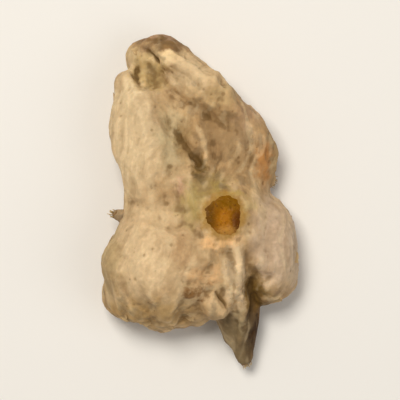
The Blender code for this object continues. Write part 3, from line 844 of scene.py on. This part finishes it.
def tapered_rod(path, radii, sides):
    """A closed rod through the path's points, with a radius at each."""
    path = [Vector(point) for point in path]
    side = (path[1] - path[0]).orthogonal().normalized()
    points, values = [], []
    for index, (point, radius) in enumerate(zip(path, radii)):
        course = (path[min(index + 1, len(path) - 1)] - path[max(index - 1, 0)]).normalized()
        side = (side - side.dot(course) * course).normalized()
        across = course.cross(side)
        for turn in range(sides):
            angle = 2.0 * math.pi * turn / sides
            points.append(point + radius * (math.cos(angle) * side + math.sin(angle) * across))
            values.append(index / (len(path) - 1))
    faces = [tuple(range(sides)), tuple(range(len(points) - sides, len(points)))]
    for index in range(len(path) - 1):
        for turn in range(sides):
            start, after = index * sides + turn, index * sides + (turn + 1) % sides
            faces.append((start, after, after + sides, start + sides))
    return points, faces, values


def snapped_outline(angle):
    """A round with two broad lobes and many small ones."""
    broad = 1.0 + 0.08 * math.sin(2.0 * angle + 0.6)
    return broad + 0.05 * math.sin(5.0 * angle) + 0.03 * math.sin(11.0 * angle)


def snapped_relief(share, flat):
    """A torn, uneven break that dips inside its rind and is sunk at its edge."""
    torn = 0.14 * noise.noise(flat * 1.6) + 0.1 * noise.noise(flat * 4.0)
    dip = 0.1 * math.exp(-((share - 0.5) / 0.3) ** 2)
    sunk_edge = 0.3 * max(0.0, (share - 0.85) / 0.15) ** 2
    return 0.05 + torn - dip - sunk_edge


def snapped_fibres(middle, facing, radius, draw):
    """Short bundles that stand out of a broken end, leaning and bent a little."""
    facing = Vector(facing).normalized()
    side = facing.orthogonal().normalized()
    across = facing.cross(side)
    for _ in range(FIBRES_PER_END):
        far = radius * math.sqrt(draw.uniform(0.0, 0.85))
        angle = draw.uniform(0.0, 2.0 * math.pi)
        flat = Vector(middle) + far * (math.cos(angle) * side + math.sin(angle) * across)
        ground = skin_below(flat, facing)
        lean = facing + Vector(draw.normal(0.0, 0.22, 3))
        length = draw.uniform(0.25, 0.85)
        bend = Vector(draw.normal(0.0, 0.1, 3))
        path = [
            ground - facing * 0.2,
            ground + lean * length * 0.4,
            ground + lean * length * 0.75 + bend * 0.5,
            ground + lean * length + bend,
        ]
        thick = draw.uniform(0.05, 0.09)
        yield tapered_rod(path, [thick, thick, thick * 0.8, thick * 0.45], FIBRE_SIDES)


def pith_material():
    material, paint, surface = new_material("snapped_pith")
    place = paint.place()
    share = paint.kept("edge_share")
    tone = paint.mix(paint.ramp(share, 0.45, 0.95), colour(198, 166, 112), colour(122, 88, 50))
    bundles = paint.placed(cut_bundles, "Mask", Place=place, Fineness=3.2, Size=0.22, Strength=0.6)
    tone = paint.mix(bundles, tone, colour(120, 84, 44))
    paint.link(paint.clouded(place, tone, 2.4, 0.6), surface, "Base Color")
    paint.grained(place, surface, 6.0, 0.6, 0.08)
    surface.inputs["Roughness"].default_value = 0.85
    return material


def fibre_material(name, root_colour, tip_colour, fineness):
    """Straw-like fibre, darker or paler towards its free end, with fine grain."""
    material, paint, surface = new_material(name)
    place = paint.place()
    along = paint.ramp(paint.kept("along"), 0.0, 1.0)
    tone = paint.mix(along, colour(*root_colour), colour(*tip_colour))
    paint.link(paint.clouded(place, tone, fineness, 0.8), surface, "Base Color")
    paint.grained(place, surface, fineness * 3.0, 0.5, 0.06)
    surface.inputs["Roughness"].default_value = 0.75
    surface.inputs["Specular IOR Level"].default_value = 0.3
    return material


fibre_draw = np.random.default_rng(FIBRE_SEED)
end_faces, end_fibres = [], []
for end, facing, radius in SNAPPED_ENDS:
    facing = Vector(facing).normalized()
    tip = skin_below(end, facing)
    end_faces.append(scar_face(tip, facing, radius, END_COUNTS, snapped_outline, snapped_relief, END_BACK))
    end_fibres.extend(snapped_fibres(tip, facing, radius, fibre_draw))
finish_piece(object_from("snapped_ends", gathered(end_faces), "edge_share"), pith_material())
straw = fibre_material("straw_fibre", (150, 116, 68), (206, 178, 124), 2.0)
finish_piece(object_from("snapped_fibres", gathered(end_fibres), "along"), straw)


# The rootlets: a few thin dry roots left on the flanks and the underside, shrivelled and curled
# against the skin. Each grew out of the lump, so its foot is sunk in it, and its far end is broken.

# Each rootlet: a point beside its foot, the way it grows, its length and its radius, in mm
ROOTLETS = (
    ((-9.0, 1.0, -3.0), (0.3, 1.0, 0.0), 6.5, 0.30),
    ((-13.0, -12.0, -3.0), (0.5, -1.0, 0.0), 5.5, 0.27),
    ((18.5, -8.0, 2.2), (-0.1, 1.0, 0.0), 6.0, 0.29),
    ((15.0, 13.0, 3.0), (-0.55, 0.85, 0.1), 5.5, 0.26),
    ((-3.0, 8.0, -3.0), (1.0, 0.5, 0.0), 6.5, 0.28),
    ((3.0, -6.0, -3.0), (-0.2, -1.0, 0.0), 5.5, 0.25),
)
ROOTLET_STEPS = 22
ROOTLET_SIDES = 9
FLOOR_CLEARANCE = 0.12


def rootlet(number, beside, growth, length, radius):
    """A thin root that leaves the skin, then runs close over it, waving and lifting towards its end."""
    place, normal, _, _ = skin_tree.find_nearest(Vector(beside))
    course = Vector(growth).normalized()
    points, radii = [], []
    for step in range(ROOTLET_STEPS + 1):
        share = step / ROOTLET_STEPS
        lift = radius * (1.1 * min(1.0, 3.0 * share) - 0.8) + 0.9 * share ** 2
        point = place + normal * lift
        uneven = 1.0 + 0.18 * noise.noise(Vector((4.0 * share * length, number, 0.0)))
        shrunk = radius * (1.0 - 0.45 * share) * uneven
        point.z = max(point.z, shrunk + FLOOR_CLEARANCE)
        points.append(point)
        radii.append(shrunk)
        sideways = [noise.noise(Vector((share * 4.0, number, seed))) for seed in (1.0, 5.0)]
        wave = Vector((*sideways, 0.0))
        ahead = (course + 0.9 * wave) * length / ROOTLET_STEPS
        place, normal, _, _ = skin_tree.find_nearest(place + ahead - normal * ahead.dot(normal))
    between = [(a + b * 2.0 + c) / 4.0 for a, b, c in zip(points, points[1:], points[2:])]
    return tapered_rod([points[0], *between, points[-1]], radii, ROOTLET_SIDES)


rootlets = gathered(rootlet(number, *row) for number, row in enumerate(ROOTLETS))
dry_rootlet = fibre_material("dry_rootlet", (132, 98, 58), (164, 128, 80), 1.6)
finish_piece(object_from("rootlets", rootlets, "along"), dry_rootlet)


# The sheath flakes: scraps of the papery leaf sheaths that clung to the rings, thin as onion skin.
# Each is stuck down at one edge and curls up at the other, and is torn to a ragged outline.

# Each flake: a point beside it, the way its free edge points, its length and width in mm, and its lift
SHEATH_FLAKES = (
    ((-11.5, 26.5, 9.0), (-1.0, 0.5, 0.0), 1.8, 2.0, 0.35),
    ((-13.0, -19.5, 10.0), (-0.4, -1.0, 0.0), 2.0, 2.4, 0.3),
    ((-9.6, -21.5, 10.0), (0.0, -1.0, 0.0), 1.7, 2.6, 0.35),
    ((-5.6, -21.5, 10.0), (0.2, -1.0, 0.0), 2.0, 2.0, 0.3),
    ((-1.8, -20.6, 10.0), (0.1, -1.0, 0.0), 1.6, 2.0, 0.3),
    ((13.5, -17.0, 8.0), (0.2, -1.0, 0.0), 1.8, 2.4, 0.35),
    ((16.8, -10.0, 8.0), (1.0, -0.2, -0.3), 1.7, 2.2, 0.3),
    ((-18.0, -6.0, 8.0), (-0.6, 1.0, 0.0), 1.8, 2.2, 0.15),
    ((-17.0, 18.0, 6.0), (-0.4, 1.0, 0.1), 1.6, 2.2, 0.3),
    ((14.5, 7.0, 4.0), (0.5, 1.0, -0.2), 1.8, 2.2, 0.3),
    ((11.0, 15.0, 5.0), (0.6, 0.8, 0.0), 1.8, 2.0, 0.35),
    ((-6.0, 2.0, -3.0), (0.2, 1.0, 0.0), 2.0, 2.6, 0.3),
    ((6.0, -12.0, -3.0), (-0.1, 1.0, 0.0), 2.0, 2.4, 0.3),
)
FLAKE_STEPS = 14
FLAKE_THICK = 0.08


def sheath_flake(number, beside, growth, length, width, lift):
    """A closed thin sheet over the skin, sunk at one edge, curled up at the ragged other."""
    middle, normal, _, _ = skin_tree.find_nearest(Vector(beside))
    along = Vector(growth)
    along = (along - along.dot(normal) * normal).normalized()
    across = normal.cross(along)
    upper, lower, values = [], [], []
    for step in range(FLAKE_STEPS + 1):
        share = step / FLAKE_STEPS
        for turn in range(FLAKE_STEPS + 1):
            spread = 2.0 * turn / FLAKE_STEPS - 1.0
            tear = noise.noise(Vector((spread * 2.2, number * 3.7, 0.0)))
            tear += 0.5 * noise.noise(Vector((spread * 6.0, number, 9.0)))
            reach = length * share * (1.0 - 0.35 * spread ** 2 + 0.4 * tear)
            ragged = noise.noise(Vector((share * 3.0, number, 4.0 + turn // 8)))
            half = 0.5 * width * (1.0 - 0.3 * share ** 2 + 0.25 * ragged)
            flat = middle + along * (reach - 0.4 * length) + across * (half * spread)
            ground, up, _, _ = skin_tree.find_nearest(flat)
            rolled = noise.noise(Vector((spread * 1.6, share, number * 2.0)))
            curl = lift * share ** 2 * (1.0 + 0.8 * rolled)
            point = ground + up * (0.05 + 0.6 * curl - 0.16 * (1.0 - share) ** 3)
            point.z = max(point.z, FLOOR_CLEARANCE + FLAKE_THICK)
            upper.append(point)
            lower.append(point - up * FLAKE_THICK)
            values.append(share)
    row = FLAKE_STEPS + 1
    faces = []
    for offset in (0, len(upper)):
        for step in range(FLAKE_STEPS):
            for turn in range(FLAKE_STEPS):
                start = offset + step * row + turn
                faces.append((start, start + 1, start + row + 1, start + row))
    rim = list(range(row))
    rim += [step * row + FLAKE_STEPS for step in range(1, row)]
    rim += [FLAKE_STEPS * row + turn for turn in range(FLAKE_STEPS - 1, -1, -1)]
    rim += [step * row for step in range(FLAKE_STEPS - 1, 0, -1)]
    for start, after in zip(rim, rim[1:] + rim[:1]):
        faces.append((start, after, after + len(upper), start + len(upper)))
    return upper + lower, faces, values + values


flakes = gathered(sheath_flake(number, *row) for number, row in enumerate(SHEATH_FLAKES))
papery_sheath = fibre_material("papery_sheath", (160, 126, 80), (206, 174, 124), 1.2)
finish_piece(object_from("sheath_flakes", flakes, "along"), papery_sheath)


# The floor under it: a plain, matt and pale sheet, so that the root shows by itself. It is part of
# the stage, and not of the root.

FLOOR_HALF = 1.5

floor_corners = [(x * FLOOR_HALF, y * FLOOR_HALF, 0.0) for x, y in ((-1, -1), (1, -1), (1, 1), (-1, 1))]
floor_mesh = bpy.data.meshes.new("floor")
floor_mesh.from_pydata(floor_corners, [], [(0, 1, 2, 3)])
floor = bpy.data.objects.new("floor", floor_mesh)
bpy.context.scene.collection.objects.link(floor)
floor_material, _, floor_surface = new_material("pale_floor")
floor_surface.inputs["Base Color"].default_value = colour(238, 234, 227)
floor_surface.inputs["Roughness"].default_value = 0.9
floor.data.materials.append(floor_material)


# The light: one broad soft lamp high at the upper left, a weaker and wider one from the right, and
# the faint even light of a pale room.

scene = bpy.context.scene
root_middle = Vector((0.0, 0.0, 0.008))


def soft_lamp(name, place, size, power, tint):
    data = bpy.data.lights.new(name, "AREA")
    data.size = size
    data.energy = power
    data.color = tint
    lamp = bpy.data.objects.new(name, data)
    scene.collection.objects.link(lamp)
    lamp.location = place
    lamp.rotation_mode = "QUATERNION"
    lamp.rotation_quaternion = (Vector(place) - root_middle).to_track_quat("Z", "Y")


soft_lamp("key_lamp", (-0.12, 0.19, 0.54), 0.22, 2.5, (1.0, 0.97, 0.92))
soft_lamp("fill_lamp", (0.36, -0.10, 0.42), 0.40, 0.55, (1.0, 1.0, 1.0))

world = bpy.data.worlds.new("room")
scene.world = world
world.use_nodes = True
world.node_tree.nodes["Background"].inputs["Color"].default_value = (1.0, 0.98, 0.95, 1.0)
world.node_tree.nodes["Background"].inputs["Strength"].default_value = 0.28
scene.view_settings.view_transform = "Standard"


# The camera looks straight down on the root, its upper end at the top of the picture. The field is
# as wide as the picture shows at half the root's height.

CAMERA_HEIGHT = 0.42
FIELD_WIDTH = 0.070

camera_data = bpy.data.cameras.new("camera")
camera_data.sensor_width = 36.0
camera_data.lens = camera_data.sensor_width * (CAMERA_HEIGHT - root_middle.z) / FIELD_WIDTH
camera_data.clip_start = 0.01
camera_data.clip_end = 10.0
camera = bpy.data.objects.new("camera", camera_data)
scene.collection.objects.link(camera)
camera.location = (0.0, 0.0, CAMERA_HEIGHT)
scene.camera = camera
